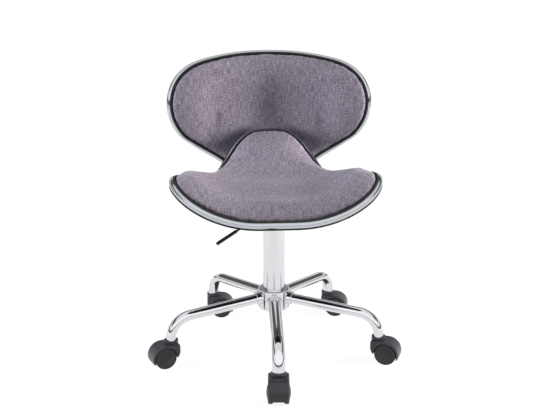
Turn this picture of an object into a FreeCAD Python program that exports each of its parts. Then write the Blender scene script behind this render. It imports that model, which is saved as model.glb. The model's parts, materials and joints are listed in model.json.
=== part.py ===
import FreeCAD, Part
import math
import os

# Low work chair: a saddle seat with a rear tongue and a wrap-round back on a gas lift and a
# five-arm castor base. Millimetres, +Z up, the sitter faces -Y, the origin is on the floor
# under the column.

V = FreeCAD.Vector

# Seat shell: the centre line runs level from the front edge, sweeps up and ends as a tongue
SEAT_TOP_Z = 354.0
SEAT_FRONT_Y = -175.0
SEAT_BEND_Y = 42.0
SEAT_BEND_R = 115.0
SEAT_BEND_TURN = 68.0
TONGUE_RUN = 50.5
# the wings rise beside a level middle band
SEAT_BAND_HALF = 40.0
SEAT_WING_HALF = 216.0
SEAT_WING_RISE = 68.0
# flat pattern of the seat shell, front to tongue: half width, distance along the centre line
SEAT_HALF = [
    (0, 0), (90, 2), (148, 9), (184, 26), (206, 56), (216, 96), (214, 132), (199, 172), (174, 214),
    (148, 254), (121, 292), (103, 328), (90, 351), (74, 374), (51, 394), (0, 404)]

# Back shell: leans back above the lumbar line, then follows the seat's bend under the seat
BACK_GAP = 49.0
BACK_LEAN = 5.0
BACK_UPPER_RUN = 190.5
BACK_BEND_TURN = 57.0
BACK_WING_HALF = 225.0
BACK_WING_RISE = 77.0
BACK_BAND_HALF = 40.0
BACK_BAND_FROM = 144.5
BACK_BAND_TO = 224.5
# flat pattern of the back shell, top to neck end, and where the padding stops behind the tongue
BACK_UPPER_HALF = [
    (0, 0), (73, 3.5), (131, 13), (180.5, 30), (209.5, 57), (225, 101), (221, 144), (197, 188),
    (154, 227), (120, 248)]
BACK_NECK_HALF = [(99, 265), (86, 290), (80, 313), (66, 338.5), (36, 349.5), (0, 351.2)]
BACK_PAD_HALF = [(99, 261), (72, 273), (40, 276), (0, 277)]

# Layers of seat and back, counted from the shell's upholstered face along its normal
SHELL_WALL = 9.0
LAYER_GAP = 0.3
COVER_WALL = 3.0
COVER_INSET = 3.0
PIPING_R = 2.4
TRIM_RISE = 1.6
TRIM_DROP = 10.5
TRIM_BULGE = 3.6
TRIM_BUTT = 0.0005
SEAT_BUTT = 0.40
BACK_BUTT = 0.5
SEAT_PAD_CROWN = 27.0
BACK_PAD_CROWN = 25.0
BACK_PAD_LOW = 11.0
PAD_EDGE = 9.0
PAD_FOOT = 2.0
PAD_BLEND = 3.0
PAD_ROLL = 46.0
# the seat's padding is fuller round its wings and rolls over its piping in the notches beside the tongue
WING_ROLL = 27.0
WING_FROM = 95.0
NOTCH_FROM = 155.0
NOTCH_TO = 306.0
NOTCH_FADE = 25.0
NOTCH_LEAN = 34.0
NOTCH_OVERHANG = 2.0
NOTCH_EDGE = 14.0
NOTCH_PIVOT = 4.6
# the valley down the back's middle deepens and widens towards the tongue
BACK_VALLEY = 19.0
BACK_VALLEY_TOP_HALF = 26.0
BACK_VALLEY_LOW_HALF = 58.0

# Fasteners of the shells
SCREW_R = 3.0
SCREW_PLAY = 0.25
HEAD_R = 5.5
HEAD_TALL = 3.4
INSERT_R = 4.5
INSERT_PLAY = 0.05
INSERT_INSET = 0.6
SCREW_SHY = 1.5
SPACER_R = 7.0
BACK_SCREW_X = 30.0
BACK_SCREW_ANGLES = (37.0, 50.0)
PLATE_SCREW_X = 50.0
PLATE_SCREW_Y = 46.0

# Seat plate: a pressed dish holds the taper socket and the height lever
PLATE_LONG = 132.0
PLATE_WIDE = 136.0
PLATE_CORNER_R = 18.0
PLATE_WALL = 3.0
DISH_R = 44.0
DISH_FLOOR_R = 39.0
DISH_DEEP = 22.4
SOCKET_R = 19.0
SOCKET_BASE_Z = 300.0
SOCKET_TOP_Z = 326.0
FIT = 0.05

# Height lever: a rod through a slot in the dish, rocking on a pin between two ears
LEVER_TURN = 225.0
LEVER_SLOPE = 12.5
LEVER_AXIS_Z = 337.2
LEVER_R = 2.5
LEVER_INNER = -4.0
LEVER_REACH = 179.0
GRIP_FROM = 121.0
GRIP_R = 3.6
GRIP_ROUND = 2.2
PIVOT_REACH = 30.0
PIVOT_DROP = 4.8
PIVOT_PIN_R = 2.0
PIVOT_EYE_R = 3.6
PIVOT_EYE_HALF = 3.0
EAR_GAP = 0.3
EAR_WALL = 2.5
EAR_WIDE = 10.0
PIN_PROUD = 1.0
SLOT_WIDE = 8.0
SLOT_BASE_Z = 321.5
SLOT_TOP_Z = 334.5

# Gas lift: outer tube, guide bush, cylinder that rises, rod that stays down
TUBE_R = 24.0
TUBE_WALL = 2.0
TUBE_BASE_Z = 100.0
TUBE_TOP_Z = 296.0
TUBE_TAPER = 0.6
TUBE_FLOOR = 3.0
BUSH_BASE_Z = 226.0
BUSH_LIP = 2.5
CYLINDER_R = 14.0
CYLINDER_WALL = 2.0
CYLINDER_BASE_Z = 120.0
CYLINDER_TOP_Z = 327.0
CYLINDER_TAPER = 0.8
CHAMBER_TOP_Z = 300.0
SLIDE_FIT = 0.1
GLAND_TALL = 15.0
GLAND_INSET = 1.0
ROD_R = 4.0
ROD_END_Z = 95.5
PISTON_TALL = 16.0
PISTON_TOP_Z = 286.0
BALL_R = 2.5
BALL_CIRCLE_R = 8.4
BALL_COUNT = 9
WASHER_R = 12.5
WASHER_WALL = 2.0
ROD_COLLAR_R = 8.0
ROD_COLLAR_TALL = 2.0
BUMPER_R = 10.0
BUMPER_TALL = 4.6
CLIP_R = 8.0
CLIP_WALL = 1.6
CLIP_GROOVE = 0.8
CLIP_MOUTH_HALF = 2.7
VALVE_PIN_R = 3.0
VALVE_PIN_BASE_Z = 305.0
VALVE_DOME_R = 6.0

# Base: five bent oval tubes in the collars of a hub
ARM_COUNT = 5
BASE_TURN = 268.4
STEM_CIRCLE_R = 240.0
ARM_END_Z = 60.0
ARM_SLOPE = 6.0
ARM_BEND_R = 50.0
ARM_WIDE = 27.0
ARM_TALL = 22.0
ARM_WALL = 1.8
ARM_START_R = 29.0
HUB_R = 35.0
HUB_BASE_Z = 102.0
HUB_TOP_Z = 148.0
HUB_ROUND = 3.0
COLLAR_WALL = 3.2
COLLAR_END_R = 43.0
COLLAR_ROUND = 1.4
ARM_FIT = 0.1
PLUG_TURN = 24.0

# Castors: a hood over two wheels that trail behind the stem
TRAIL_TURNS = (266.0, 337.0, 347.0, 356.0, 203.0)
WHEEL_R = 24.0
TRAIL = 19.5
WHEEL_INNER = 11.5
WHEEL_OUTER = 25.0
WHEEL_DOME = 3.5
TREAD_ROUND = 2.5
WHEEL_DISH_R = 17.0
WEB_HALF = 11.0
HOOD_HALF = 22.0
HOOD_R = 29.3
HOOD_POCKET_R = 25.4
HOOD_ROUND = 5.0
HOOD_TAIL_TURN = -17.0
HOOD_FRONT = 14.5
HOOD_FRONT_ROUND = 6.0
HOOD_CHIN_Z = 34.0
HOOD_LIP = 8.0
HOOD_LIP_Z = 24.0
WEB_LOW_Z = 13.0
WEB_LOW_HALF = 6.0
BOSS_R = 15.5
BOSS_BASE_Z = 44.0
BOSS_ROUND = 1.5
SWIVEL_GAP = 0.3
STEM_R = 5.5
STEM_LOW_R = 5.0
STEM_BASE_Z = 37.0
STEM_TOP_Z = 77.0
STEM_BORE_SHY = 1.0
RING_Z = 43.5
RING_TALL = 2.0
RING_R = 6.0
RING_GROOVE = 0.8
RING_PLAY = 0.2
AXLE_R = 3.0
AXLE_HALF = 20.5
AXLE_PLAY = 0.5

# Worked out from the sizes above
SEAT_FLAT = SEAT_BEND_Y - SEAT_FRONT_Y
SEAT_LENGTH = SEAT_FLAT + SEAT_BEND_R * math.radians(SEAT_BEND_TURN) + TONGUE_RUN
BEND_CENTRE_Z = SEAT_TOP_Z + SEAT_BEND_R
BACK_BEND_R = SEAT_BEND_R + BACK_GAP
BACK_LENGTH = BACK_UPPER_RUN + BACK_BEND_R * math.radians(BACK_BEND_TURN)
PAD_INSET = 2 * PIPING_R + 2 * LAYER_GAP
COVER_FACE = SHELL_WALL + LAYER_GAP + COVER_WALL
PLATE_TOP_Z = SEAT_TOP_Z - COVER_FACE - LAYER_GAP
PLATE_BASE_Z = PLATE_TOP_Z - PLATE_WALL
DISH_FLOOR_Z = PLATE_BASE_Z - DISH_DEEP
LEVER_COS = math.cos(math.radians(LEVER_SLOPE))
LEVER_TAN = math.tan(math.radians(LEVER_SLOPE))
PIVOT_Z = LEVER_AXIS_Z - PIVOT_REACH * LEVER_TAN - PIVOT_DROP
VALVE_PIN_TOP_Z = LEVER_AXIS_Z - LEVER_R / LEVER_COS - LAYER_GAP
TUBE_BORE_R = TUBE_R - TUBE_WALL
CYLINDER_BORE_R = CYLINDER_R - CYLINDER_WALL
WASHER_BASE_Z = TUBE_BASE_Z + TUBE_FLOOR
BALL_Z = WASHER_BASE_Z + WASHER_WALL + BALL_R + FIT
UPPER_WASHER_Z = BALL_Z + BALL_R + FIT
ROD_COLLAR_Z = UPPER_WASHER_Z + WASHER_WALL + SWIVEL_GAP
BUMPER_Z = ROD_COLLAR_Z + ROD_COLLAR_TALL + FIT
ARM_BEND_CENTRE = STEM_CIRCLE_R - ARM_BEND_R
ARM_TAN = math.tan(math.radians(ARM_SLOPE))
ARM_BEND_START_R = ARM_BEND_CENTRE + ARM_BEND_R * math.sin(math.radians(ARM_SLOPE))
ARM_BEND_START_Z = ARM_END_Z + ARM_BEND_R * math.cos(math.radians(ARM_SLOPE))
CASTOR_TOP_Z = ARM_END_Z - SWIVEL_GAP
WHEEL_SHOULDER = WHEEL_OUTER - WHEEL_DOME
EDGE_STATIONS = 72
SEAM_STEPS = (0.1, 0.25, 0.5)
PATCH_STATIONS = 3
PATTERN_STEPS = 160
PROBE = 0.05
EDGE_PROBE = 1e-4
GRID_STEP = 8.0
GRID_MARGIN = 14.0
CUT_ABOVE = 38.0
CUT_BELOW = 24.0
OVERRUN = 1.0


def ease(low, high, value):
    """0 below low, 1 above high, and a smooth step between."""
    share = min(max((value - low) / (high - low), 0.0), 1.0)
    return share * share * (3 - 2 * share)


def closed_curve(points, ahead):
    """A smooth closed curve through points whose last is the first again, leaving along ahead."""
    curve = Part.BSplineCurve()
    curve.interpolate(Points=points, InitialTangent=ahead, FinalTangent=ahead)
    return curve


class Sheet:
    """A pressed shell's upholstered face: a centre line in the YZ plane with rising wings."""

    def __init__(self, start, heading, runs, side, rise):
        self.start, self.heading, self.runs = start, heading, runs
        self.side, self.rise = side, rise

    def centre(self, along):
        """Point (y, z) and heading of the centre line at a distance along it."""
        y, z = self.start
        heading = math.radians(self.heading)
        left = along
        for index, (length, turn) in enumerate(self.runs):
            step = left if index == len(self.runs) - 1 else min(left, length)
            if turn:
                radius = length / math.radians(turn)
                ahead = heading + step / radius
                y += radius * (math.sin(ahead) - math.sin(heading))
                z -= radius * (math.cos(ahead) - math.cos(heading))
                heading = ahead
            else:
                y += step * math.cos(heading)
                z += step * math.sin(heading)
            left -= step
            if abs(left) < 1e-9:
                break
        return y, z, heading

    def face(self, x, along):
        """Point of the sheet itself."""
        y, z, heading = self.centre(along)
        lift = self.side * self.rise(x, along)
        return V(x, y - math.sin(heading) * lift, z + math.cos(heading) * lift)

    def normal(self, x, along):
        """Unit normal on the upholstered side."""
        across = self.face(x + PROBE, along) - self.face(x - PROBE, along)
        ahead = self.face(x, along + PROBE) - self.face(x, along - PROBE)
        return across.cross(ahead).normalize() * self.side

    def point(self, x, along, up):
        """Point lifted off the sheet along its normal."""
        return self.face(x, along) + self.normal(x, along) * up


class Edge:
    """A closed flat pattern laid on a sheet."""

    def __init__(self, sheet, half):
        self.sheet = sheet
        self.curve = Part.BSplineCurve()
        points = [V(x, along, 0) for x, along in half]
        self.curve.interpolate(Points=points, InitialTangent=V(1, 0, 0), FinalTangent=V(-1, 0, 0))
        self.pattern = [self.spot(i / PATTERN_STEPS) for i in range(PATTERN_STEPS)]

    def spot(self, share):
        """Point of the pattern; its second half mirrors its first."""
        first, last = self.curve.FirstParameter, self.curve.LastParameter
        place = self.curve.value(first + (last - first) * min(2 * share, 2 - 2 * share))
        return V(-place.x, place.y, 0) if share > 0.5 else place

    def frame(self, share):
        """Origin, outward and upward directions of the edge's cross-section."""
        here = self.spot(share)
        before, after = self.spot((share - EDGE_PROBE) % 1), self.spot((share + EDGE_PROBE) % 1)
        ahead = self.sheet.face(after.x, after.y) - self.sheet.face(before.x, before.y)
        up = self.sheet.normal(here.x, here.y)
        out = ahead.cross(up).normalize() * self.sheet.side
        return self.sheet.face(here.x, here.y), out, up

    def at(self, share, out, up):
        """Point beside the edge: out is away from the shell in its face, up is along the normal."""
        origin, outward, upward = self.frame(share)
        return origin + outward * out + upward * up

    def depth(self, x, along):
        """Distance from the edge in the flat pattern, positive inside it."""
        inside = False
        nearest = 1e9
        before = self.pattern[-1]
        for here in self.pattern:
            run_x, run_y = before.x - here.x, before.y - here.y
            share = ((x - here.x) * run_x + (along - here.y) * run_y) / (run_x ** 2 + run_y ** 2)
            share = min(max(share, 0.0), 1.0)
            nearest = min(nearest, math.hypot(here.x + share * run_x - x, here.y + share * run_y - along))
            if (here.y > along) != (before.y > along):
                inside = inside != (x < here.x + run_x * (along - here.y) / run_y)
            before = here
        return nearest if inside else -nearest


def flat_lift(level):
    return lambda x, along: level


def grid_face(sheet, half_width, length, lift):
    """A smooth face over the sheet's whole rectangle, at a lift given as a function."""
    columns = 2 * math.ceil((half_width + GRID_MARGIN) / GRID_STEP)
    rows = math.ceil((length + 2 * GRID_MARGIN) / GRID_STEP)
    grid = []
    for i in range(columns + 1):
        x = (half_width + GRID_MARGIN) * (2 * i / columns - 1)
        alongs = [(length + 2 * GRID_MARGIN) * j / rows - GRID_MARGIN for j in range(rows + 1)]
        grid.append([sheet.point(x, along, lift(x, along)) for along in alongs])
    surface = Part.BSplineSurface()
    surface.interpolate(grid)
    return surface.toShape()


def layer(edge, half_width, length, low, high, inset, lean=flat_lift(0)):
    """A solid layer on a sheet between two lifts, trimmed inside the edge by a wall that may lean out."""
    faces = [grid_face(edge.sheet, half_width, length, lift) for lift in (low, high)]
    sides = [Part.makeRuledSurface(a, b) for a, b in zip(faces[0].Edges, faces[1].Edges)]
    slab = Part.makeCompound(faces + sides)
    slab.sewShape()
    slab = Part.makeSolid(Part.Shell(slab.Faces))
    rims = []
    for up in (-CUT_BELOW, CUT_ABOVE):
        stations = []
        for i in range(EDGE_STATIONS + 1):
            share = i / EDGE_STATIONS % 1
            spot = edge.spot(share)
            stations.append(edge.at(share, lean(spot.x, spot.y) * (up - NOTCH_PIVOT) - inset, up))
        rim = closed_curve(stations, V(1, 0, 0))
        ends = [rim.parameter(spot) for spot in stations[PATCH_STATIONS:-1:PATCH_STATIONS]]
        ends = [rim.FirstParameter] + ends + [rim.LastParameter]
        rims.append([rim.toShape(start, end) for start, end in zip(ends, ends[1:])])
    walls = [Part.makeRuledSurface(low_rim, high_rim) for low_rim, high_rim in zip(*rims)]
    pieces = slab.generalFuse(walls)[0].Solids
    inner = min(pieces, key=lambda piece: piece.BoundBox.XLength)
    return inner if inner.Volume > 0 else inner.reversed()


def edge_band(edge, section, butt):
    """A strip along the whole edge, lofted through its cross-sections, ends butted together."""
    start = [0, *SEAM_STEPS]
    steps = start + list(range(1, EDGE_STATIONS)) + [EDGE_STATIONS - step for step in reversed(start)]
    wires = []
    for step in steps:
        share = butt + TRIM_BUTT / 2 + (1 - TRIM_BUTT) * step / EDGE_STATIONS
        origin, out, up = edge.frame(share % 1.0)
        wires.append(section(lambda e, n: origin + out * e + up * n))
    return Part.makeLoft(wires, True, False)


def trim_section(place):
    """Bright trim: flat against the shell's edge, bulging outwards."""
    middle = (TRIM_RISE - TRIM_DROP) / 2
    low, high = place(LAYER_GAP, -TRIM_DROP), place(LAYER_GAP, TRIM_RISE)
    bulge = Part.Arc(low, place(LAYER_GAP + TRIM_BULGE, middle), high).toShape()
    return Part.Wire([bulge, Part.makeLine(high, low)])


def piping_section(place):
    """Round piping in the corner between the padding and the trim."""
    out, up = -LAYER_GAP / 2 - PIPING_R, LAYER_GAP + PIPING_R
    turns = [i * math.pi / 3 for i in range(6)]
    rim = [place(out + PIPING_R * math.cos(a), up + PIPING_R * math.sin(a)) for a in turns]
    rim.append(rim[0])
    return Part.Wire([Part.Arc(rim[i], rim[i + 1], rim[i + 2]).toShape() for i in (0, 2, 4)])


def seat_rise(x, along):
    return SEAT_WING_RISE * (max(abs(x) - SEAT_BAND_HALF, 0) / (SEAT_WING_HALF - SEAT_BAND_HALF)) ** 2


def back_rise(x, along):
    band = BACK_BAND_HALF * ease(BACK_BAND_FROM, BACK_BAND_TO, along)
    return BACK_WING_RISE * (max(abs(x) - band, 0) / (BACK_WING_HALF - band)) ** 2


def seat_sheet():
    bend = SEAT_BEND_R * math.radians(SEAT_BEND_TURN)
    runs = [(SEAT_FLAT, 0), (bend, SEAT_BEND_TURN), (TONGUE_RUN, 0)]
    return Sheet((SEAT_FRONT_Y, SEAT_TOP_Z), 0, runs, 1, seat_rise)


def back_sheet():
    """The back's bend shares the seat bend's centre; the upper run leaves it on a tangent."""
    lean = math.radians(BACK_LEAN)
    top = (SEAT_BEND_Y + BACK_BEND_R * math.cos(lean) + BACK_UPPER_RUN * math.sin(lean),
           BEND_CENTRE_Z - BACK_BEND_R * math.sin(lean) + BACK_UPPER_RUN * math.cos(lean))
    bend = BACK_BEND_R * math.radians(BACK_BEND_TURN)
    runs = [(BACK_UPPER_RUN, 0), (bend, -BACK_BEND_TURN)]
    return Sheet(top, -90 - BACK_LEAN, runs, -1, back_rise)


def pad_lift(edge, crown, roll, over):
    """Padding that swells from its edge to its crown over the width of its roll."""
    def lift(x, along):
        start = PAD_INSET - (PAD_INSET + NOTCH_OVERHANG) * over(x, along)
        edge_level = PAD_EDGE + (NOTCH_EDGE - PAD_EDGE) * over(x, along)
        share = (edge.depth(x, along) - start) / roll(x, along)
        swell = math.sin(math.pi / 2 * min(max(share, -1.0), 1.0))
        level = edge_level + (crown(x, along) - edge_level) * swell - PAD_FOOT
        return PAD_FOOT + PAD_BLEND * math.log1p(math.exp(level / PAD_BLEND))
    return lift


def fade_between(start, end, along):
    """1 between two distances along the seat and 0 beyond them."""
    begun = ease(start - NOTCH_FADE, start + NOTCH_FADE, along)
    return begun * (1 - ease(end - NOTCH_FADE, end + NOTCH_FADE, along))


def seat_roll(x, along):
    """The roll is tighter round the wings and in the notches beside the tongue."""
    return PAD_ROLL + (WING_ROLL - PAD_ROLL) * fade_between(WING_FROM, NOTCH_TO, along)


def notch_over(x, along):
    """How far the padding rolls over its piping, from 0 to 1."""
    return fade_between(NOTCH_FROM, NOTCH_TO, along)


def notch_lean(x, along):
    return math.tan(math.radians(NOTCH_LEAN)) * notch_over(x, along)


def back_crown(x, along):
    """The back's padding thins behind the seat's tongue and has a valley down its middle."""
    thin = ease(BACK_BAND_FROM, BACK_BAND_TO, along)
    crown = BACK_PAD_CROWN + (BACK_PAD_LOW - BACK_PAD_CROWN) * thin
    down = ease(0, BACK_BAND_FROM, along)
    half = BACK_VALLEY_TOP_HALF + (BACK_VALLEY_LOW_HALF - BACK_VALLEY_TOP_HALF) * down
    return crown - BACK_VALLEY * (1 - thin) * down * math.exp(-(x / half) ** 2)


def drill(radius, start, end):
    """A round bar between two points."""
    return Part.makeCylinder(radius, (end - start).Length, start, end - start)


def screw_spots():
    """Each shell screw: a point on the seat sheet's face and the direction away from the sitter."""
    plate = [(V(x, y, SEAT_TOP_Z), V(0, 0, -1))
             for x in (-PLATE_SCREW_X, PLATE_SCREW_X) for y in (-PLATE_SCREW_Y, PLATE_SCREW_Y)]
    back = []
    for angle in BACK_SCREW_ANGLES:
        down = V(0, math.sin(math.radians(angle)), -math.cos(math.radians(angle)))
        for x in (-BACK_SCREW_X, BACK_SCREW_X):
            back.append((V(x, SEAT_BEND_Y, BEND_CENTRE_Z) + down * SEAT_BEND_R, down))
    return plate, back


def holes(spots, radius, near, far):
    return [drill(radius, spot + down * near, spot + down * far) for spot, down in spots]


def seat_pieces():
    edge = Edge(seat_sheet(), SEAT_HALF)
    size = (SEAT_WING_HALF, SEAT_LENGTH)
    plate, back = screw_spots()
    shell = layer(edge, *size, flat_lift(-SHELL_WALL), flat_lift(0), 0)
    shell = shell.cut(holes(plate + back, INSERT_R + INSERT_PLAY, -SHELL_WALL, 2 * SHELL_WALL))
    swell = pad_lift(edge, flat_lift(SEAT_PAD_CROWN), seat_roll, notch_over)
    cushion = layer(edge, *size, flat_lift(LAYER_GAP), swell, PAD_INSET, notch_lean)
    cover = layer(edge, *size, flat_lift(-COVER_FACE), flat_lift(-SHELL_WALL - LAYER_GAP), COVER_INSET)
    cover = cover.cut(holes(plate + back, SCREW_R + SCREW_PLAY, 0, 2 * COVER_FACE))
    return {
        "seat_shell": shell, "seat_cushion": cushion, "seat_under_cover": cover,
        "seat_trim": edge_band(edge, trim_section, SEAT_BUTT),
        "seat_piping": edge_band(edge, piping_section, SEAT_BUTT)}


def back_pieces():
    sheet = back_sheet()
    edge = Edge(sheet, BACK_UPPER_HALF + BACK_NECK_HALF)
    pad = Edge(sheet, BACK_UPPER_HALF + BACK_PAD_HALF)
    size = (BACK_WING_HALF, BACK_LENGTH)
    back = screw_spots()[1]
    shell = layer(edge, *size, flat_lift(-SHELL_WALL), flat_lift(0), 0)
    shell = shell.cut(holes(back, SCREW_R + SCREW_PLAY, 0, BACK_GAP + 3 * SHELL_WALL))
    swell = pad_lift(pad, back_crown, flat_lift(PAD_ROLL), flat_lift(0))
    cushion = layer(pad, *size, flat_lift(LAYER_GAP), swell, PAD_INSET)
    cover = layer(pad, *size, flat_lift(-COVER_FACE), flat_lift(-SHELL_WALL - LAYER_GAP), COVER_INSET)
    return {
        "back_shell": shell, "back_cushion": cushion, "back_rear_cover": cover,
        "back_trim": edge_band(edge, trim_section, BACK_BUTT),
        "back_piping": edge_band(pad, piping_section, BACK_BUTT)}


def shell_fasteners():
    plate, back = screw_spots()
    inserts, plate_screws, back_screws, spacers = [], [], [], []
    for spot, down in plate + back:
        low = spot + down * INSERT_INSET
        high = spot + down * (SHELL_WALL - INSERT_INSET)
        inserts.append(drill(INSERT_R, low, high).cut(drill(SCREW_R + FIT, low - down, high + down)))
    for spots, seat_at, screws in (
            (plate, SEAT_TOP_Z - PLATE_BASE_Z, plate_screws),
            (back, BACK_GAP + SHELL_WALL + LAYER_GAP, back_screws)):
        for spot, down in spots:
            seat = spot + down * seat_at
            shank = drill(SCREW_R, spot + down * SCREW_SHY, seat)
            head = drill(HEAD_R, seat, seat + down * HEAD_TALL)
            rim = [e for e in head.Edges if on_rim(e, HEAD_R, seat + down * HEAD_TALL)]
            head = head.makeFillet(HEAD_TALL / 2, rim)
            screws.append(shank.fuse(head).removeSplitter())
    for spot, down in back:
        low = spot + down * (COVER_FACE + FIT)
        high = spot + down * (BACK_GAP - LAYER_GAP)
        spacers.append(drill(SPACER_R, low, high).cut(drill(SCREW_R + SCREW_PLAY, low - down, high + down)))
    return {
        "threaded_inserts": Part.makeCompound(inserts), "plate_screws": Part.makeCompound(plate_screws),
        "back_screws": Part.makeCompound(back_screws), "back_spacers": Part.makeCompound(spacers)}


def on_rim(edge, radius, centre):
    """Whether an edge is the full circle of a radius about a point."""
    curve = edge.Curve
    return isinstance(curve, Part.Circle) and abs(curve.Radius - radius) < 1e-6 \
        and (curve.Center - centre).Length < 1e-6


def turned(points, axis_at=V(0, 0, 0)):
    """A body of revolution about a vertical line from (radius, z) corners."""
    corners = [axis_at + V(r, 0, z) for r, z in points]
    face = Part.Face(Part.makePolygon(corners + corners[:1]))
    return face.revolve(axis_at, V(0, 0, 1), 360)


def ring(outer, inner, low, high):
    return turned([(inner, low), (outer, low), (outer, high), (inner, high)])


def dome_drop(dome_r, radius):
    """How far a dome's surface lies below its top at a radius from its axis."""
    return dome_r - math.sqrt(dome_r ** 2 - radius ** 2)


def lever_frame():
    """The lever's upright plane: a placement that turns +X towards the lever's tip."""
    return FreeCAD.Rotation(V(0, 0, 1), LEVER_TURN)


def lever_place(reach, across, z):
    return lever_frame().multVec(V(reach, across, z))


def lever_axis(reach):
    """Point on the rod's centre line."""
    return lever_place(reach, 0, LEVER_AXIS_Z - reach * LEVER_TAN)


def plate_pieces():
    corner = V(-PLATE_WIDE / 2, -PLATE_LONG / 2, PLATE_BASE_Z)
    outline = Part.makeBox(PLATE_WIDE, PLATE_LONG, PLATE_WALL, corner)
    corners = [e for e in outline.Edges if abs(e.tangentAt(e.FirstParameter).z) > 0.9]
    outline = outline.makeFillet(PLATE_CORNER_R, corners)
    mouth = Part.makeCylinder(DISH_R - FIT, 3 * PLATE_WALL, V(0, 0, PLATE_BASE_Z - PLATE_WALL))
    outline = outline.cut(mouth)
    floor_top = DISH_FLOOR_Z + PLATE_WALL
    bore = SOCKET_R + FIT
    dish = turned([
        (bore, DISH_FLOOR_Z), (DISH_FLOOR_R, DISH_FLOOR_Z), (DISH_R, PLATE_BASE_Z), (DISH_R, PLATE_TOP_Z),
        (DISH_R - PLATE_WALL, PLATE_TOP_Z), (DISH_FLOOR_R - PLATE_WALL, floor_top), (bore, floor_top)])
    plate = outline.fuse(dish).removeSplitter()
    slot_at = V(PIVOT_REACH + EAR_WIDE / 2, -SLOT_WIDE / 2, SLOT_BASE_Z)
    slot = Part.makeBox(2 * DISH_R, SLOT_WIDE, SLOT_TOP_Z - SLOT_BASE_Z, slot_at)
    slot.rotate(V(0, 0, 0), V(0, 0, 1), LEVER_TURN)
    plate = plate.cut([slot] + holes(screw_spots()[0], SCREW_R + SCREW_PLAY, 0, 2 * DISH_DEEP))
    top_r = CYLINDER_R - CYLINDER_TAPER * (SOCKET_TOP_Z - SOCKET_BASE_Z) / (CYLINDER_TOP_Z - SOCKET_BASE_Z)
    socket = turned([
        (CYLINDER_R + FIT, SOCKET_BASE_Z), (SOCKET_R, SOCKET_BASE_Z), (SOCKET_R, SOCKET_TOP_Z),
        (top_r + FIT, SOCKET_TOP_Z)])
    far = PIVOT_EYE_HALF + EAR_GAP + EAR_WALL
    pin_ends = [V(PIVOT_REACH, side * (far + PIN_PROUD), PIVOT_Z) for side in (-1, 1)]
    pin = drill(PIVOT_PIN_R, *pin_ends)
    pin_hole = drill(PIVOT_PIN_R + FIT / 2, *pin_ends)
    ears = []
    for outer in (-far, far - EAR_WALL):
        corner = V(PIVOT_REACH - EAR_WIDE / 2, outer, floor_top)
        ear = Part.makeBox(EAR_WIDE, EAR_WALL, PIVOT_Z - floor_top, corner)
        crown = drill(EAR_WIDE / 2, V(PIVOT_REACH, outer, PIVOT_Z), V(PIVOT_REACH, outer + EAR_WALL, PIVOT_Z))
        ears.append(ear.fuse(crown).removeSplitter().cut(pin_hole))
    for piece in ears + [pin]:
        piece.rotate(V(0, 0, 0), V(0, 0, 1), LEVER_TURN)
    return {
        "seat_plate": plate, "taper_socket": socket, "lever_ears": Part.makeCompound(ears),
        "lever_pin": pin}


def lever_pieces():
    rod = drill(LEVER_R, lever_axis(LEVER_INNER), lever_axis(LEVER_REACH - GRIP_ROUND))
    rod = rod.fuse(Part.makeSphere(LEVER_R, lever_axis(LEVER_INNER)))
    eye_ends = [lever_place(PIVOT_REACH, side * PIVOT_EYE_HALF, PIVOT_Z) for side in (-1, 1)]
    rod = rod.fuse(drill(PIVOT_EYE_R, *eye_ends)).removeSplitter()
    rod = rod.cut(drill(PIVOT_PIN_R + FIT, *eye_ends))
    start, end = lever_axis(GRIP_FROM), lever_axis(LEVER_REACH)
    grip = drill(GRIP_R, start, end)
    grip = grip.makeFillet(GRIP_ROUND, [e for e in grip.Edges if on_rim(e, GRIP_R, end)])
    ahead = (end - start).normalize()
    grip = grip.cut(drill(LEVER_R + FIT, start - ahead, lever_axis(LEVER_REACH - GRIP_ROUND) + ahead * FIT))
    return {"lever_rod": rod, "lever_grip": grip}


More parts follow.
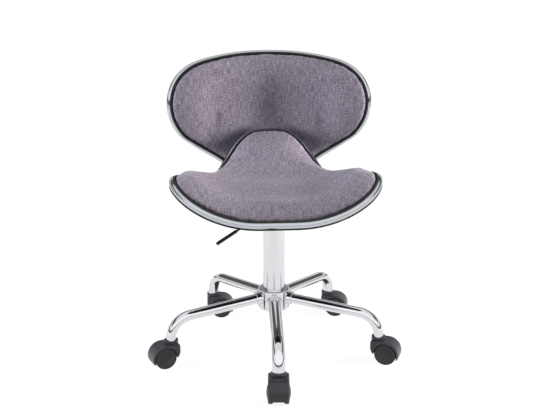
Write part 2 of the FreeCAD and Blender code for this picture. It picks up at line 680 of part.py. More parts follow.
def lift_pieces():
    foot_r = TUBE_R - TUBE_TAPER
    tube = turned([
        (ROD_R + FIT, TUBE_BASE_Z), (foot_r, TUBE_BASE_Z), (TUBE_R, HUB_TOP_Z), (TUBE_R, TUBE_TOP_Z),
        (TUBE_BORE_R, TUBE_TOP_Z), (TUBE_BORE_R, HUB_TOP_Z), (foot_r - TUBE_WALL, WASHER_BASE_Z),
        (ROD_R + FIT, WASHER_BASE_Z)])
    guide = CYLINDER_R + SLIDE_FIT
    bush = turned([
        (guide, BUSH_BASE_Z), (TUBE_BORE_R - FIT, BUSH_BASE_Z), (TUBE_BORE_R - FIT, TUBE_TOP_Z),
        (TUBE_R, TUBE_TOP_Z), (TUBE_R, TUBE_TOP_Z + BUSH_LIP / 2),
        (TUBE_R - BUSH_LIP / 2, TUBE_TOP_Z + BUSH_LIP), (guide, TUBE_TOP_Z + BUSH_LIP)])
    pin_bore = VALVE_PIN_R + SLIDE_FIT
    cylinder = turned([
        (CYLINDER_BORE_R, CYLINDER_BASE_Z), (CYLINDER_R, CYLINDER_BASE_Z), (CYLINDER_R, SOCKET_BASE_Z),
        (CYLINDER_R - CYLINDER_TAPER, CYLINDER_TOP_Z), (pin_bore, CYLINDER_TOP_Z), (pin_bore, CHAMBER_TOP_Z),
        (CYLINDER_BORE_R, CHAMBER_TOP_Z)])
    gland_z = CYLINDER_BASE_Z + GLAND_INSET
    gland = ring(CYLINDER_BORE_R - FIT, ROD_R + FIT, gland_z, gland_z + GLAND_TALL)
    clip_top = TUBE_BASE_Z - SWIVEL_GAP
    groove_r = ROD_R - CLIP_GROOVE
    groove_low, groove_high = clip_top - CLIP_WALL - FIT, clip_top + FIT
    collar_top = ROD_COLLAR_Z + ROD_COLLAR_TALL
    rod = turned([
        (0, ROD_END_Z), (ROD_R, ROD_END_Z), (ROD_R, groove_low), (groove_r, groove_low),
        (groove_r, groove_high), (ROD_R, groove_high), (ROD_R, ROD_COLLAR_Z), (ROD_COLLAR_R, ROD_COLLAR_Z),
        (ROD_COLLAR_R, collar_top), (ROD_R, collar_top), (ROD_R, PISTON_TOP_Z), (0, PISTON_TOP_Z)])
    clip = ring(CLIP_R, groove_r + FIT, clip_top - CLIP_WALL, clip_top)
    gap_at = V(0, -CLIP_MOUTH_HALF, clip_top - 1.5 * CLIP_WALL)
    clip = clip.cut(Part.makeBox(2 * CLIP_R, 2 * CLIP_MOUTH_HALF, 2 * CLIP_WALL, gap_at))
    piston = ring(CYLINDER_BORE_R - SLIDE_FIT, ROD_R + FIT, PISTON_TOP_Z - PISTON_TALL, PISTON_TOP_Z)
    bumper = ring(BUMPER_R, ROD_R + FIT, BUMPER_Z, BUMPER_Z + BUMPER_TALL)
    rims = [e for e in bumper.Edges if e.Closed and abs(e.BoundBox.XMax - BUMPER_R) < FIT]
    bumper = bumper.makeFillet(BUMPER_TALL / 4, rims)
    bearing = [ring(WASHER_R, ROD_R + 2 * FIT, z, z + WASHER_WALL) for z in (WASHER_BASE_Z, UPPER_WASHER_Z)]
    for i in range(BALL_COUNT):
        turn = FreeCAD.Rotation(V(0, 0, 1), 360 / BALL_COUNT * i)
        bearing.append(Part.makeSphere(BALL_R, turn.multVec(V(BALL_CIRCLE_R, 0, BALL_Z))))
    dome_base = VALVE_PIN_TOP_Z - dome_drop(VALVE_DOME_R, VALVE_PIN_R)
    half_r = VALVE_PIN_R / 2
    half_z = VALVE_PIN_TOP_Z - dome_drop(VALVE_DOME_R, half_r)
    low, rim = V(VALVE_PIN_R, 0, VALVE_PIN_BASE_Z), V(VALVE_PIN_R, 0, dome_base)
    top, foot = V(0, 0, VALVE_PIN_TOP_Z), V(0, 0, VALVE_PIN_BASE_Z)
    dome = Part.Arc(rim, V(half_r, 0, half_z), top).toShape()
    outline = Part.Wire([Part.makeLine(foot, low), Part.makeLine(low, rim), dome, Part.makeLine(top, foot)])
    valve_pin = Part.Face(outline).revolve(V(0, 0, 0), V(0, 0, 1), 360)
    return {
        "column_tube": tube, "column_bush": bush, "gas_cylinder": cylinder, "cylinder_gland": gland,
        "piston_rod": rod, "rod_clip": clip, "piston": piston, "rod_bumper": bumper,
        "thrust_bearing": Part.makeCompound(bearing), "valve_pin": valve_pin}


def arm_line(start_r, turn_to):
    """The arm's centre line in the XZ plane: a straight run and a bend down to the castor."""
    start = V(start_r, 0, ARM_BEND_START_Z + (ARM_BEND_START_R - start_r) * ARM_TAN)
    bend = V(ARM_BEND_START_R, 0, ARM_BEND_START_Z)
    first, last = 90 - ARM_SLOPE, turn_to
    points = []
    for angle in ((first + last) / 2, last):
        a = math.radians(angle)
        points.append(V(ARM_BEND_CENTRE + ARM_BEND_R * math.cos(a), 0, ARM_END_Z + ARM_BEND_R * math.sin(a)))
    return Part.Wire([Part.makeLine(start, bend), Part.Arc(bend, *points).toShape()])


def oval(centre, ahead, wide, tall):
    """An upright oval wire square to a direction in the XZ plane."""
    curve = Part.Ellipse(V(0, 0, 0), wide / 2, tall / 2)
    wire = Part.Wire([curve.toShape()])
    across = V(0, 1, 0)
    wire.Placement = FreeCAD.Placement(centre, FreeCAD.Rotation(across, ahead.cross(across), ahead, "ZXY"))
    return wire


def swept_oval(line, wide, tall):
    start = line.Edges[0]
    first = start.FirstParameter
    section = oval(start.valueAt(first), start.tangentAt(first), wide, tall)
    return line.makePipeShell([section], True, False)


def arm_turn(index):
    return BASE_TURN + 360 / ARM_COUNT * index


def base_pieces():
    bore_low, bore_high = TUBE_R - TUBE_TAPER + FIT, TUBE_R + FIT
    slope = (bore_high - bore_low) / (HUB_TOP_Z - TUBE_BASE_Z)
    hub = turned([(0, HUB_BASE_Z), (HUB_R, HUB_BASE_Z), (HUB_R, HUB_TOP_Z), (0, HUB_TOP_Z)])
    hub_rims = [e for e in hub.Edges if e.Closed and abs(e.BoundBox.XLength - 2 * HUB_R) < 1e-6]
    hub = hub.makeFillet(HUB_ROUND, hub_rims)
    ahead = V(1, 0, -ARM_TAN).normalize()
    middle = V(0, 0, ARM_BEND_START_Z + ARM_BEND_START_R * ARM_TAN)
    grown = 2 * COLLAR_WALL
    collar_wire = oval(middle + ahead * TUBE_R, ahead, ARM_WIDE + grown, ARM_TALL + grown)
    collar = Part.Face(collar_wire).extrude(ahead * (COLLAR_END_R - TUBE_R))
    rim = max(collar.Edges, key=lambda e: e.BoundBox.XMax if e.Closed else 0)
    collar = collar.makeFillet(COLLAR_ROUND, [rim])
    eased = 2 * ARM_FIT
    socket_wire = oval(middle + ahead * (ARM_START_R - ARM_FIT), ahead, ARM_WIDE + eased, ARM_TALL + eased)
    socket = Part.Face(socket_wire).extrude(ahead * COLLAR_END_R)
    collars, sockets = [], []
    for index in range(ARM_COUNT):
        for piece, group in ((collar, collars), (socket, sockets)):
            copy = piece.copy()
            copy.rotate(V(0, 0, 0), V(0, 0, 1), arm_turn(index))
            group.append(copy)
    bore_z = HUB_BASE_Z - OVERRUN
    bore = turned([
        (0, bore_z), (bore_low + slope * (bore_z - TUBE_BASE_Z), bore_z),
        (bore_high + slope * OVERRUN, HUB_TOP_Z + OVERRUN), (0, HUB_TOP_Z + OVERRUN)])
    hub = hub.fuse(collars).removeSplitter().cut(sockets + [bore])
    inner_wide, inner_tall = ARM_WIDE - 2 * ARM_WALL, ARM_TALL - 2 * ARM_WALL
    line = arm_line(ARM_START_R / math.cos(math.radians(ARM_SLOPE)), 0)
    arm = swept_oval(line, ARM_WIDE, ARM_TALL).cut(swept_oval(line, inner_wide, inner_tall))
    plug = swept_oval(Part.Wire([plug_line()]), inner_wide - eased, inner_tall - eased)
    stem_low = V(STEM_CIRCLE_R, 0, ARM_END_Z - OVERRUN)
    stem_high = V(STEM_CIRCLE_R, 0, STEM_TOP_Z + STEM_BORE_SHY)
    plug = plug.cut(drill(STEM_R + FIT / 2, stem_low, stem_high))
    pieces, plugs = {"base_hub": hub}, []
    for index in range(ARM_COUNT):
        for piece in (arm, plug):
            copy = piece.copy()
            copy.rotate(V(0, 0, 0), V(0, 0, 1), arm_turn(index))
            if piece is arm:
                pieces["base_arm_%d" % (index + 1)] = copy
            else:
                plugs.append(copy)
    pieces["arm_plugs"] = Part.makeCompound(plugs)
    return pieces


def plug_line():
    """The last part of the arm's bend, which the castor plug fills."""
    points = []
    for angle in (PLUG_TURN, PLUG_TURN / 2, 0):
        a = math.radians(angle)
        points.append(V(ARM_BEND_CENTRE + ARM_BEND_R * math.cos(a), 0, ARM_END_Z + ARM_BEND_R * math.sin(a)))
    return Part.Arc(*points).toShape()


def castor_hood():
    """Hood, web between the wheels and stem boss, in the castor's own frame: stem on Z, trailing +X."""
    def spot(turn):
        a = math.radians(turn)
        return V(TRAIL + HOOD_R * math.cos(a), 0, WHEEL_R + HOOD_R * math.sin(a))
    top = WHEEL_R + HOOD_R
    corner = HOOD_FRONT_ROUND * (1 - math.sqrt(0.5))
    tail, crown = spot(HOOD_TAIL_TURN), spot(90)
    brow = [
        V(HOOD_FRONT_ROUND - HOOD_FRONT, 0, top), V(corner - HOOD_FRONT, 0, top - corner),
        V(-HOOD_FRONT, 0, top - HOOD_FRONT_ROUND)]
    low = [
        brow[2], V(-HOOD_FRONT, 0, HOOD_CHIN_Z), V(-HOOD_LIP, 0, HOOD_LIP_Z),
        V(TRAIL - WEB_LOW_HALF, 0, WEB_LOW_Z), V(TRAIL + WEB_LOW_HALF, 0, WEB_LOW_Z), tail]
    arch = Part.Arc(tail, spot((HOOD_TAIL_TURN + 90) / 2), crown).toShape()
    edges = [arch, Part.makeLine(crown, brow[0]), Part.Arc(*brow).toShape()]
    edges += [Part.makeLine(a, b) for a, b in zip(low, low[1:])]
    side = Part.Face(Part.Wire(edges))
    side.translate(V(0, -HOOD_HALF, 0))
    hood = side.extrude(V(0, 2 * HOOD_HALF, 0))
    shoulders = [
        e for e in hood.Edges if abs(e.BoundBox.YLength) < 1e-6 and e.BoundBox.ZMax > HOOD_CHIN_Z + OVERRUN]
    hood = hood.makeFillet(HOOD_ROUND, shoulders)
    pockets = []
    for sign in (-1, 1):
        web, mouth = V(TRAIL, sign * WEB_HALF, WHEEL_R), V(TRAIL, sign * (HOOD_HALF + OVERRUN), WHEEL_R)
        pockets.append(drill(HOOD_POCKET_R, web, mouth))
    hood = hood.cut(pockets)
    boss = Part.makeCylinder(BOSS_R, CASTOR_TOP_Z - BOSS_BASE_Z, V(0, 0, BOSS_BASE_Z))
    boss_rim = [e for e in boss.Edges if on_rim(e, BOSS_R, V(0, 0, CASTOR_TOP_Z))]
    boss = boss.makeFillet(BOSS_ROUND, boss_rim)
    hood = hood.fuse(boss.cut(pockets)).removeSplitter()
    bore = drill(STEM_LOW_R + FIT, V(0, 0, STEM_BASE_Z - STEM_BORE_SHY), V(0, 0, CASTOR_TOP_Z + OVERRUN))
    recess_half = V(0, 0, RING_TALL / 2 + RING_PLAY)
    recess = drill(RING_R + RING_PLAY, V(0, 0, RING_Z) - recess_half, V(0, 0, RING_Z) + recess_half)
    axle_hole = drill(AXLE_R + FIT / 2, V(TRAIL, -HOOD_HALF, WHEEL_R), V(TRAIL, HOOD_HALF, WHEEL_R))
    return hood.cut([bore, recess, axle_hole])


def castor_stem():
    groove_r = STEM_LOW_R - RING_GROOVE
    low, high = RING_Z - RING_TALL / 2 - FIT, RING_Z + RING_TALL / 2 + FIT
    seat = (CASTOR_TOP_Z + ARM_END_Z) / 2
    return turned([
        (0, STEM_BASE_Z), (STEM_LOW_R, STEM_BASE_Z), (STEM_LOW_R, low), (groove_r, low), (groove_r, high),
        (STEM_LOW_R, high), (STEM_LOW_R, seat), (STEM_R, seat), (STEM_R, STEM_TOP_Z), (0, STEM_TOP_Z)])


def castor_wheel(sign):
    """A moulded wheel on its axle: flat inner side, round tread shoulders and a domed outer face."""
    bore, end = AXLE_R + FIT, AXLE_HALF + AXLE_PLAY

    def at(radius, across):
        return V(TRAIL, sign * across, WHEEL_R + radius)
    bend = TREAD_ROUND * (1 - math.sqrt(0.5))
    low, tread = WHEEL_R - TREAD_ROUND, WHEEL_R - bend
    inner = [at(low, WHEEL_INNER), at(tread, WHEEL_INNER + bend), at(WHEEL_R, WHEEL_INNER + TREAD_ROUND)]
    side = WHEEL_SHOULDER
    outer = [at(WHEEL_R, side - TREAD_ROUND), at(tread, side - bend), at(low, side)]
    dome_r = (WHEEL_DISH_R ** 2 + WHEEL_DOME ** 2) / (2 * WHEEL_DOME)
    half_r = WHEEL_DISH_R / 2
    rim, top = at(WHEEL_DISH_R, WHEEL_SHOULDER), at(0, WHEEL_OUTER)
    dome = Part.Arc(rim, at(half_r, WHEEL_OUTER - dome_drop(dome_r, half_r)), top).toShape()
    hole = [top, at(0, end), at(bore, end), at(bore, WHEEL_INNER), inner[0]]
    edges = [Part.Arc(*inner).toShape(), Part.makeLine(inner[2], outer[0]), Part.Arc(*outer).toShape()]
    edges += [Part.makeLine(outer[2], rim), dome]
    edges += [Part.makeLine(a, b) for a, b in zip(hole, hole[1:])]
    return Part.Face(Part.Wire(edges)).revolve(V(TRAIL, 0, WHEEL_R), V(0, 1, 0), 360)


def castor_pieces():
    grip = ring(RING_R, STEM_LOW_R - RING_GROOVE + FIT, RING_Z - RING_TALL / 2, RING_Z + RING_TALL / 2)
    axle = drill(AXLE_R, V(TRAIL, -AXLE_HALF, WHEEL_R), V(TRAIL, AXLE_HALF, WHEEL_R))
    kinds = {
        "castor_body": castor_hood(), "castor_axle": axle, "castor_wheel_left": castor_wheel(1),
        "castor_wheel_right": castor_wheel(-1), "castor_stems": castor_stem(), "castor_grip_rings": grip}
    groups = ("castor_stems", "castor_grip_rings")
    pieces = {name: [] for name in groups}
    for index, trail_turn in enumerate(TRAIL_TURNS):
        spot = FreeCAD.Rotation(V(0, 0, 1), arm_turn(index)).multVec(V(STEM_CIRCLE_R, 0, 0))
        for name, shape in kinds.items():
            copy = shape.copy()
            copy.rotate(V(0, 0, 0), V(0, 0, 1), trail_turn)
            copy.translate(spot)
            if name in groups:
                pieces[name].append(copy)
            else:
                pieces["%s_%d" % (name, index + 1)] = copy
    for name in groups:
        pieces[name] = Part.makeCompound(pieces[name])
    return pieces


def main():
    os.makedirs("parts", exist_ok=True)
    pieces = {}
    for make in (seat_pieces, back_pieces, shell_fasteners, plate_pieces, lever_pieces, lift_pieces,
                 base_pieces, castor_pieces):
        pieces.update(make())
    for name, shape in pieces.items():
        shape.exportStep("parts/%s.step" % name)
        facts = (name, len(shape.Solids), shape.Volume, shape.isValid())
        print("%-24s %2d solids %12.1f mm3 valid %s" % facts)


main()
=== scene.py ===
import json
import math

import bmesh
import bpy
from bpy.props import FloatProperty, FloatVectorProperty, IntProperty, PointerProperty
from mathutils import Euler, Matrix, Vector


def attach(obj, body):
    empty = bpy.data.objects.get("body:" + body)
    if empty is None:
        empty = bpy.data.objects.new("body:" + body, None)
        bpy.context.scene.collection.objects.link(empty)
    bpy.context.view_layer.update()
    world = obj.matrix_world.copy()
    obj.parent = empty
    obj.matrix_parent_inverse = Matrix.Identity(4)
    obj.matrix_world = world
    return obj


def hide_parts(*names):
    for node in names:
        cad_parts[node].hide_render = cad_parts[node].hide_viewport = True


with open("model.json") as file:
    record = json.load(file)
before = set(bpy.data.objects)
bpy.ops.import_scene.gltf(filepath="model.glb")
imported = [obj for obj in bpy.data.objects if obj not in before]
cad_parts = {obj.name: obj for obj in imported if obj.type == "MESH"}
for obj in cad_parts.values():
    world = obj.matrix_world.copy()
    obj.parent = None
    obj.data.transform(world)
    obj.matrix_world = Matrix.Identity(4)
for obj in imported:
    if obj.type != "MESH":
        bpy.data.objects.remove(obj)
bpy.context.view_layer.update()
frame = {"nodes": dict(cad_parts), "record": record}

bl_info = {
    "name": "Saddle Work Chair",
    "version": (1, 0, 0),
    "blender": (4, 5, 0),
    "location": "View3D > Sidebar > Chair",
    "description": "Dresses a work chair with a saddle seat and a wrap-round back, and sets up its studio",
    "category": "Object",
}

NODES = frame["nodes"]
PARTS = frame["record"]["subparts"]

# Centre of the bend that seat and back share, then each shell's radius and turn round it
BEND_Y = 0.042
BEND_Z = 0.469
SEAT_BEND = (0.115, math.radians(68))
BACK_BEND = (0.164, math.radians(85))

# Points in the sitter's place, one that the seat faces and one that the back faces
SEAT_SITTER = Vector((0, -0.05, 0.75))
BACK_SITTER = Vector((0, -0.25, 0.52))

# A cover is glued down where it faces the sitter by less than the first cosine, and free from the second
GLUED_FACING = -0.65
FREE_FACING = -0.15
# Only the freest part of a cover swells
SWELL_FROM = 0.75
SWELL_STEPS = 20
# Smoothing passes after the swelling, for each one before it
FINISHING = 3

# A face of the lining belongs to its underside where the sitter is this far behind it
UNDER_BEHIND = 0.2
# The lining's screw holes lie within this distance of the lift's axis
SCREW_FIELD = 0.12
# The hem is full up to the first place and runs out at the second
HEM_FULL_Y = 0.02
HEM_END_Y = 0.08

# Points of a CAD mesh that are nearer to each other than this are one point
WELD = 1e-6

# Weave: how far the yarn's tone spreads, the dye's patches and their drift, and the height of a thread
WEAVE_MAP = "weave"
FLECK_SPREAD = 0.34
DYE_PATCH = 0.0714
DYE_DRIFT = 0.07
WEAVE_RELIEF = 0.0004
LINING_FLECK = 1.8
# A wave texture of scale 1 repeats after this length
WAVE_PERIOD = 2 * math.pi / 20

# Roughness of chromium where it is buffed and where it has been wiped
BUFFED = 0.06
WIPED = 0.14

# Size of the clouds in a moulded or sprayed skin, and how far gloss and tone drift in them
CLOUD = 0.0333
CLOUD_GLOSS = 0.07
CLOUD_TONE = 0.14

# What the lamps look at, and their tints
LAMP_TARGET = Vector((0, 0.05, 0.4))
COOL = (0.96, 0.99, 1.0)
WARM = (1.0, 0.95, 0.94)
NEUTRAL = (1.0, 1.0, 1.0)
# Edges in the white room: the axis of a direction, where the edge starts and where it is complete
ROOM_EDGES = {
    "gap_foot": ("Z", 0.28, 0.40),
    "gap_head": ("Z", 0.72, 0.60),
    "gap_side": ("Y", -0.3, -0.15),
    "skirting": ("Z", 0.16, 0.10),
    "reflector": ("Y", -0.3, -0.5),
}
GAP_LIGHT = 0.12
WALL_LIGHT = 1.0
REFLECTOR_LIGHT = 1.3
SENSOR_MM = 36


def linear(colour):
    """Scene-linear RGBA of an sRGB hex colour."""
    channels = [int(colour[i:i + 2], 16) / 255 for i in (1, 3, 5)]
    return [c / 12.92 if c <= 0.04045 else ((c + 0.055) / 1.055) ** 2.4 for c in channels] + [1.0]


def colour_setting(name, description, colour):
    """A colour that a user may change, given as sRGB hex."""
    return FloatVectorProperty(
        name=name, description=description, subtype="COLOR", size=4, min=0, max=1, default=linear(colour))


def length_setting(name, description, metres):
    """A length that a user may change."""
    return FloatProperty(
        name=name, description=description, subtype="DISTANCE", unit="LENGTH", min=0, precision=4,
        default=metres)


def angle_setting(name, description, degrees):
    """An angle that a user may change."""
    return FloatProperty(name=name, description=description, subtype="ANGLE", default=math.radians(degrees))


def power_setting(name, description, watts):
    """A lamp's power that a user may change."""
    return FloatProperty(name=name, description=description, unit="POWER", min=0, default=watts)


class ChairCloth(bpy.types.PropertyGroup):
    """Upholstery of the seat and the back."""

    yarn: colour_setting("Yarn", "Main colour of the melange yarn", "#8f8896")
    dark_yarn: colour_setting("Dark yarn", "Colour of the dark fibres in the yarn", "#67606f")
    pale_yarn: colour_setting("Pale yarn", "Colour of the pale slubs in the yarn", "#b0aab7")
    lining: colour_setting("Lining", "Colour of the lining under the seat", "#1e1e20")
    slub_width: length_setting("Slub width", "Thickness of a slub, drawn coarse enough to show", 0.0019)
    slub_length: length_setting("Slub length", "How far a slub runs along its yarn", 0.019)
    thread: length_setting("Thread spacing", "Distance between threads, drawn coarse enough to show", 0.0016)
    voxel: length_setting("Mesh size", "Size of the even mesh that the padding is grown from", 0.0039)
    swell: length_setting("Swell", "How far the padding may swell", 0.0025)
    snug: length_setting("Snug", "How far the cover presses against its piping", 0.002)
    pressure: FloatProperty(
        name="Pressure", description="Pressure of the foam under its cover", default=4, min=0)
    hem_drop: length_setting("Hem drop", "How far the hem hangs below the lining", 0.003)
    smoothing: IntProperty(name="Smoothing", description="Smoothing passes on the padding", default=2, min=0)


class ChairFinish(bpy.types.PropertyGroup):
    """Metals and mouldings."""

    chrome: colour_setting("Chrome", "Colour of the chromium plate", "#d6d7da")
    # the trim's chromium is painted greyer than the tubes' chromium: painted shade
    trim: colour_setting("Trim", "Colour of the bright edge trim", "#b9bcc2")
    steel: colour_setting("Steel", "Colour of the ground and zinc-plated steel", "#b9bbbd")
    enamel: colour_setting("Enamel", "Colour of the black enamel", "#161617")
    piping: colour_setting("Piping", "Colour of the vinyl piping", "#0f0e11")
    hood: colour_setting("Hood", "Colour of the castor hoods", "#2b2d31")
    wheel: colour_setting("Wheel", "Colour of the castor wheels", "#191b1e")
    rubber: colour_setting("Rubber", "Colour of the sleeve and bumper", "#19191a")
    # the ply is near black as painted shade: the shell showing beside the piping reads as a shadow line
    ply: colour_setting("Ply", "Colour of the plywood made dark as painted shade", "#2a2523")


class ChairStudio(bpy.types.PropertyGroup):
    """Camera, lamps and floor."""

    camera_place: FloatVectorProperty(
        name="Camera", description="Where the camera stands", subtype="TRANSLATION", unit="LENGTH", size=3,
        default=(-0.1350, -1.9862, 0.9466))
    camera_pitch: angle_setting("Pitch", "How far the camera looks down", 16.99)
    camera_yaw: angle_setting("Yaw", "How far the camera is turned", -3.96)
    lens: FloatProperty(
        name="Lens", description="Focal length of the camera in mm", unit="CAMERA", default=62.3, min=1)
    left_lamp: power_setting("Left lamp", "Power of the lamp on the left", 82)
    right_lamp: power_setting("Right lamp", "Power of the lamp on the right", 122)
    top_lamp: power_setting("Top lamp", "Power of the lamp overhead", 6)
    fill: FloatProperty(name="Fill", description="Strength of the light from all round", default=0.15, min=0)
    floor_size: length_setting("Floor", "Side of the paper floor", 40.0)
    paper: colour_setting("Paper", "Colour of the floor where it is lit, before its own glow", "#6c6c6c")


def share_between(value, start, full):
    """How far a value has come from start to full, from 0 to 1."""
    return min(max((value - start) / (full - start), 0.0), 1.0)


def stand(name, data):
    """A new object in the scene for a mesh, a lamp or a camera."""
    thing = bpy.data.objects.new(name, data)
    bpy.context.scene.collection.objects.link(thing)
    return thing


def empty_tree(owner):
    """The node tree of a material or a world, with nothing in it."""
    owner.use_nodes = True
    owner.node_tree.nodes.clear()
    return owner.node_tree


def add(tree, kind, inputs=None, **settings):
    """Adds a node, sets it up and fills its sockets from values or from other nodes' outputs."""
    node = tree.nodes.new(kind)
    for name, value in settings.items():
        setattr(node, name, value)
    for socket, value in (inputs or {}).items():
        if isinstance(value, bpy.types.NodeSocket):
            tree.links.new(value, node.inputs[socket])
        else:
            node.inputs[socket].default_value = value
    return node


def surface(name, draw):
    """A material whose Principled shader takes the sockets that draw(tree) returns."""
    material = bpy.data.materials.new(name)
    tree = empty_tree(material)
    shader = add(tree, "ShaderNodeBsdfPrincipled", draw(tree))
    add(tree, "ShaderNodeOutputMaterial", {"Surface": shader.outputs[0]})
    return material


def melange_weave(name, cloth, dark, middle, pale):
    """Linen-look polyester, plain woven from slubby melange yarn: matt, flecked, with a faint nap."""
    def draw(tree):
        place = add(tree, "ShaderNodeUVMap", uv_map=WEAVE_MAP).outputs[0]

        # warp and weft, both drawn coarser than real threads, which are too fine to show
        slubs, threads = [], []
        for direction, across, along in (
                ("X", cloth.slub_width, cloth.slub_length), ("Y", cloth.slub_length / 2, cloth.slub_width)):
            spread = add(tree, "ShaderNodeMapping", {"Vector": place, "Scale": (1 / across, 1 / along, 1)})
            slubs.append(add(tree, "ShaderNodeTexNoise", {
                "Vector": spread.outputs[0], "Scale": 1.0, "Detail": 1.0, "Roughness": 0.6}).outputs[0])
            threads.append(add(tree, "ShaderNodeTexWave", {
                "Vector": place, "Scale": WAVE_PERIOD / cloth.thread, "Distortion": 1.5, "Detail": 1.0},
                bands_direction=direction).outputs[1])
        yarn = add(tree, "ShaderNodeMath", {0: slubs[0], 1: slubs[1]}, operation="ADD").outputs[0]
        spun = add(tree, "ShaderNodeMapRange", {
            "Value": yarn, "From Min": 1 - FLECK_SPREAD, "From Max": 1 + FLECK_SPREAD})
        fleck = add(tree, "ShaderNodeValToRGB", {"Fac": spun.outputs[0]})
        shades = fleck.color_ramp.elements
        shades[0].color = dark
        shades[1].color = pale
        shades.new(0.5).color = middle

        # the dye drifts slowly over the cloth
        drift = add(tree, "ShaderNodeTexNoise", {"Vector": place, "Scale": 1 / DYE_PATCH, "Detail": 1.0})
        tone = add(tree, "ShaderNodeMapRange", {
            "Value": drift.outputs[0], "To Min": 1 - DYE_DRIFT, "To Max": 1 + DYE_DRIFT})
        dyed = add(tree, "ShaderNodeVectorMath", {
            0: fleck.outputs[0], "Scale": tone.outputs[0]}, operation="SCALE")

        crossings = add(tree, "ShaderNodeMath", {0: threads[0], 1: threads[1]}, operation="MULTIPLY")
        relief = add(tree, "ShaderNodeMath", {0: crossings.outputs[0], 1: yarn}, operation="ADD")
        bump = add(tree, "ShaderNodeBump", {
            "Strength": 0.2, "Distance": WEAVE_RELIEF, "Height": relief.outputs[0]})
        return {"Base Color": dyed.outputs[0], "Roughness": 0.92, "Specular IOR Level": 0.25,
                "Sheen Weight": 0.18, "Sheen Roughness": 0.45, "Normal": bump.outputs[0]}
    return surface(name, draw)


def chromium_plate(name, colour, smear):
    """Buffed chromium plate: a cool mirror whose reflections soften a little where it has been wiped."""
    def draw(tree):
        place = add(tree, "ShaderNodeTexCoord").outputs["Object"]
        smears = add(tree, "ShaderNodeTexNoise", {"Vector": place, "Scale": 1 / smear, "Detail": 3.0})
        rough = add(tree, "ShaderNodeMapRange", {
            "Value": smears.outputs[0], "From Min": 0.35, "From Max": 0.75,
            "To Min": BUFFED, "To Max": WIPED})
        return {"Base Color": colour, "Metallic": 1.0, "Roughness": rough.outputs[0]}
    return surface(name, draw)


def grained(name, colour, grain, depth, roughness, metallic=0.0):
    """A moulded, sprayed or ground skin: even grain with slightly uneven gloss and colour."""
    def draw(tree):
        place = add(tree, "ShaderNodeTexCoord").outputs["Object"]
        # the grain is drawn coarser than the real one, which is too fine to show
        pits = add(tree, "ShaderNodeTexNoise", {"Vector": place, "Scale": 1 / grain, "Detail": 2.0})
        bump = add(tree, "ShaderNodeBump", {"Strength": 0.3, "Distance": depth, "Height": pits.outputs[0]})
        cloud = add(tree, "ShaderNodeTexNoise", {"Vector": place, "Scale": 1 / CLOUD, "Detail": 3.0})
        gloss = add(tree, "ShaderNodeMapRange", {
            "Value": cloud.outputs[0], "To Min": roughness - CLOUD_GLOSS, "To Max": roughness + CLOUD_GLOSS})
        tone = add(tree, "ShaderNodeMapRange", {
            "Value": cloud.outputs[0], "To Min": 1 - CLOUD_TONE, "To Max": 1 + CLOUD_TONE})
        tinted = add(tree, "ShaderNodeVectorMath", {
            0: colour[:3], "Scale": tone.outputs[0]}, operation="SCALE")
        return {"Base Color": tinted.outputs[0], "Metallic": metallic, "Roughness": gloss.outputs[0],
                "Normal": bump.outputs[0]}
    return surface(name, draw)


def dress(slot, material):
    """Gives a material to every CAD node of one material slot."""
    for part in PARTS:
        if part["material_slot"] == slot:
            mesh = NODES[part["node"]].data
            mesh.materials.clear()
            mesh.materials.append(material)


def welded_copy(name, node):
    """A CAD node's mesh as a new object, its loose triangles merged."""
    shape = bmesh.new()
    shape.from_mesh(NODES[node].data)
    bmesh.ops.remove_doubles(shape, verts=shape.verts, dist=WELD)
    mesh = bpy.data.meshes.new(name)
    shape.to_mesh(mesh)
    shape.free()
    return stand(name, mesh)


def apply_modifiers(piece):
    """Makes what the modifiers give the piece's own mesh."""
    graph = bpy.context.evaluated_depsgraph_get()
    mesh = bpy.data.meshes.new_from_object(piece.evaluated_get(graph))
    piece.modifiers.clear()
    piece.data = mesh


def soften(piece, passes):
    """Evens out the mesh and rounds its edges."""
    shape = bmesh.new()
    shape.from_mesh(piece.data)
    for _ in range(passes):
        bmesh.ops.smooth_vert(
            shape, verts=shape.verts, factor=0.5, use_axis_x=True, use_axis_y=True, use_axis_z=True)
    shape.to_mesh(piece.data)
    shape.free()


def freedom(mesh, sitter):
    """How free each point of a cover is: 1 where it faces the sitter, 0 where it is glued to the shell."""
    facing = [(sitter - vertex.co).normalized().dot(vertex.normal) for vertex in mesh.vertices]
    return [share_between(towards, GLUED_FACING, FREE_FACING) for towards in facing]


def press_out(piece, sitter, distance):
    """Pulls the free part of a cover snug against its piping, as smoothing has drawn it in."""
    free = freedom(piece.data, sitter)
    moves = [vertex.normal * share * distance for vertex, share in zip(piece.data.vertices, free)]
    for vertex, move in zip(piece.data.vertices, moves):
        vertex.co += move


def swell(piece, sitter, cloth):
    """Blows the cover up over its foam, no further than the cloth gives."""
    mesh = piece.data
    start = [vertex.co.copy() for vertex in mesh.vertices]
    free = [share_between(share, SWELL_FROM, 1.0) for share in freedom(mesh, sitter)]
    glued = piece.vertex_groups.new(name="glued")
    for index, share in enumerate(free):
        glued.add([index], 1 - share, "REPLACE")
    cover = piece.modifiers.new("Cover", "CLOTH")
    cover.settings.use_pressure = True
    cover.settings.uniform_pressure_force = cloth.pressure
    cover.settings.effector_weights.gravity = 0
    cover.settings.vertex_group_mass = glued.name
    cover.point_cache.frame_end = SWELL_STEPS
    for step in range(1, SWELL_STEPS + 1):
        bpy.context.scene.frame_set(step)
    apply_modifiers(piece)
    for vertex, origin, share in zip(piece.data.vertices, start, free):
        move = vertex.co - origin
        move.length = min(move.length, cloth.swell * share)
        vertex.co = origin + move
    piece.vertex_groups.clear()
    bpy.context.scene.frame_set(1)


